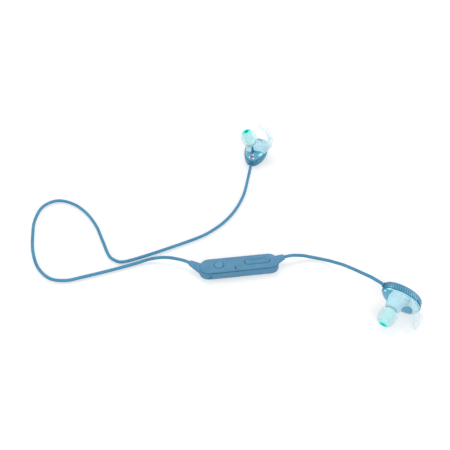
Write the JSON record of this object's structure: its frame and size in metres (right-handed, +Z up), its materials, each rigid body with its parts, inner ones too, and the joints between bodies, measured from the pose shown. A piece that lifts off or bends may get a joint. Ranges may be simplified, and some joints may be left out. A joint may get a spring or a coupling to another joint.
{
  "type": "neckband earphones",
  "caption": "In-ear earphones on a thin cable worn behind the neck: inline remote with play button, volume rocker and flap over the charging port; earbuds with hooked fin and pull-off tip.",
  "frame": {"origin": "centre of the remote's flat underside, on the table", "axes": "+X along the remote from the long cable's end to the short cable's end, +Y away from the charging flap's side towards the right earbud, +Z up from the table"},
  "size_m": [0.2269, 0.1872, 0.024],
  "materials": {
    "remote_casing": "matte, soft to the touch",
    "remote_button": "matte",
    "charge_flap": "matte",
    "cable_boot": "matte",
    "cable_jacket": "satin",
    "earbud_cover": "satin",
    "earbud_housing": "glossy, metallic",
    "dark_rubber": "matte",
    "side_marker": "satin",
    "soft_silicone": "translucent",
    "tip_silicone": "translucent",
    "tip_core": "matte",
    "circuit_board": "satin",
    "battery_foil": "foil",
    "sheet_metal": "plated",
    "black_plastic": "matte",
    "switch_body": "matte",
    "ceramic_white": "ceramic",
    "gold_can": "plated",
    "magnet": "nickel plated",
    "copper_wire": "enamelled wire",
    "film": "clear film",
    "fine_mesh": "woven"
  },
  "bodies": {
    "earphones": {"remote_bottom_casing": "remote_casing", "remote_top_casing": "remote_casing", "circuit_board": "circuit_board", "battery_cell": "battery_foil", "charging_port_shell": "sheet_metal", "charging_port_tongue": "black_plastic", "play_switch": "switch_body", "volume_up_switch": "switch_body", "volume_down_switch": "switch_body", "radio_chip": "black_plastic", "antenna": "ceramic_white", "microphone": "gold_can", "long_cable_boot": "cable_boot", "short_cable_boot": "cable_boot", "right_back_cover": "earbud_cover", "right_front_housing": "earbud_housing", "right_driver_frame": "sheet_metal", "right_driver_magnet": "magnet", "right_voice_coil": "copper_wire", "right_diaphragm": "film", "right_nozzle_mesh": "fine_mesh", "right_side_marker": "side_marker", "right_cable_bushing": "dark_rubber", "right_ear_fin": "soft_silicone", "left_back_cover": "earbud_cover", "left_front_housing": "earbud_housing", "left_driver_frame": "sheet_metal", "left_driver_magnet": "magnet", "left_voice_coil": "copper_wire", "left_diaphragm": "film", "left_nozzle_mesh": "fine_mesh", "left_cable_bushing": "dark_rubber", "left_ear_fin": "soft_silicone", "long_cable": "cable_jacket", "short_cable": "cable_jacket"},
    "play_button": {"play_button": "remote_button"},
    "volume_rocker": {"volume_rocker": "remote_button"},
    "charge_flap": {"charge_flap": "charge_flap"},
    "right_ear_tip": {"right_ear_tip_core": "tip_core", "right_ear_tip_dome": "tip_silicone"},
    "left_ear_tip": {"left_ear_tip_core": "tip_core", "left_ear_tip_dome": "tip_silicone"}
  },
  "joints": [
    {"name": "play_button_press", "type": "slide", "parent": "earphones", "child": "play_button", "axis": [0, 0, -1], "range_m": [0, 0.0003], "stiffness_N_per_m": 4000},
    {"name": "volume_rocker_tilt", "type": "hinge", "parent": "earphones", "child": "volume_rocker", "pos_m": [0.011, -0.0004, 0.00555], "axis": [0, 1, 0], "range_deg": [-2.5, 2.5], "stiffness_Nm_per_rad": 0.2},
    {"name": "charge_flap_swing", "type": "hinge", "parent": "earphones", "child": "charge_flap", "pos_m": [0.0006, -0.0063, 0.003], "axis": [0, 0, 1], "range_deg": [0, 100]},
    {"name": "right_ear_tip_pull", "type": "slide", "parent": "earphones", "child": "right_ear_tip", "axis": [-0.3251, 0.0684, 0.9432], "range_m": [0, 0.012]},
    {"name": "left_ear_tip_pull", "type": "slide", "parent": "earphones", "child": "left_ear_tip", "axis": [-0.6234, -0.7079, -0.332], "range_m": [0, 0.012]}
  ]
}
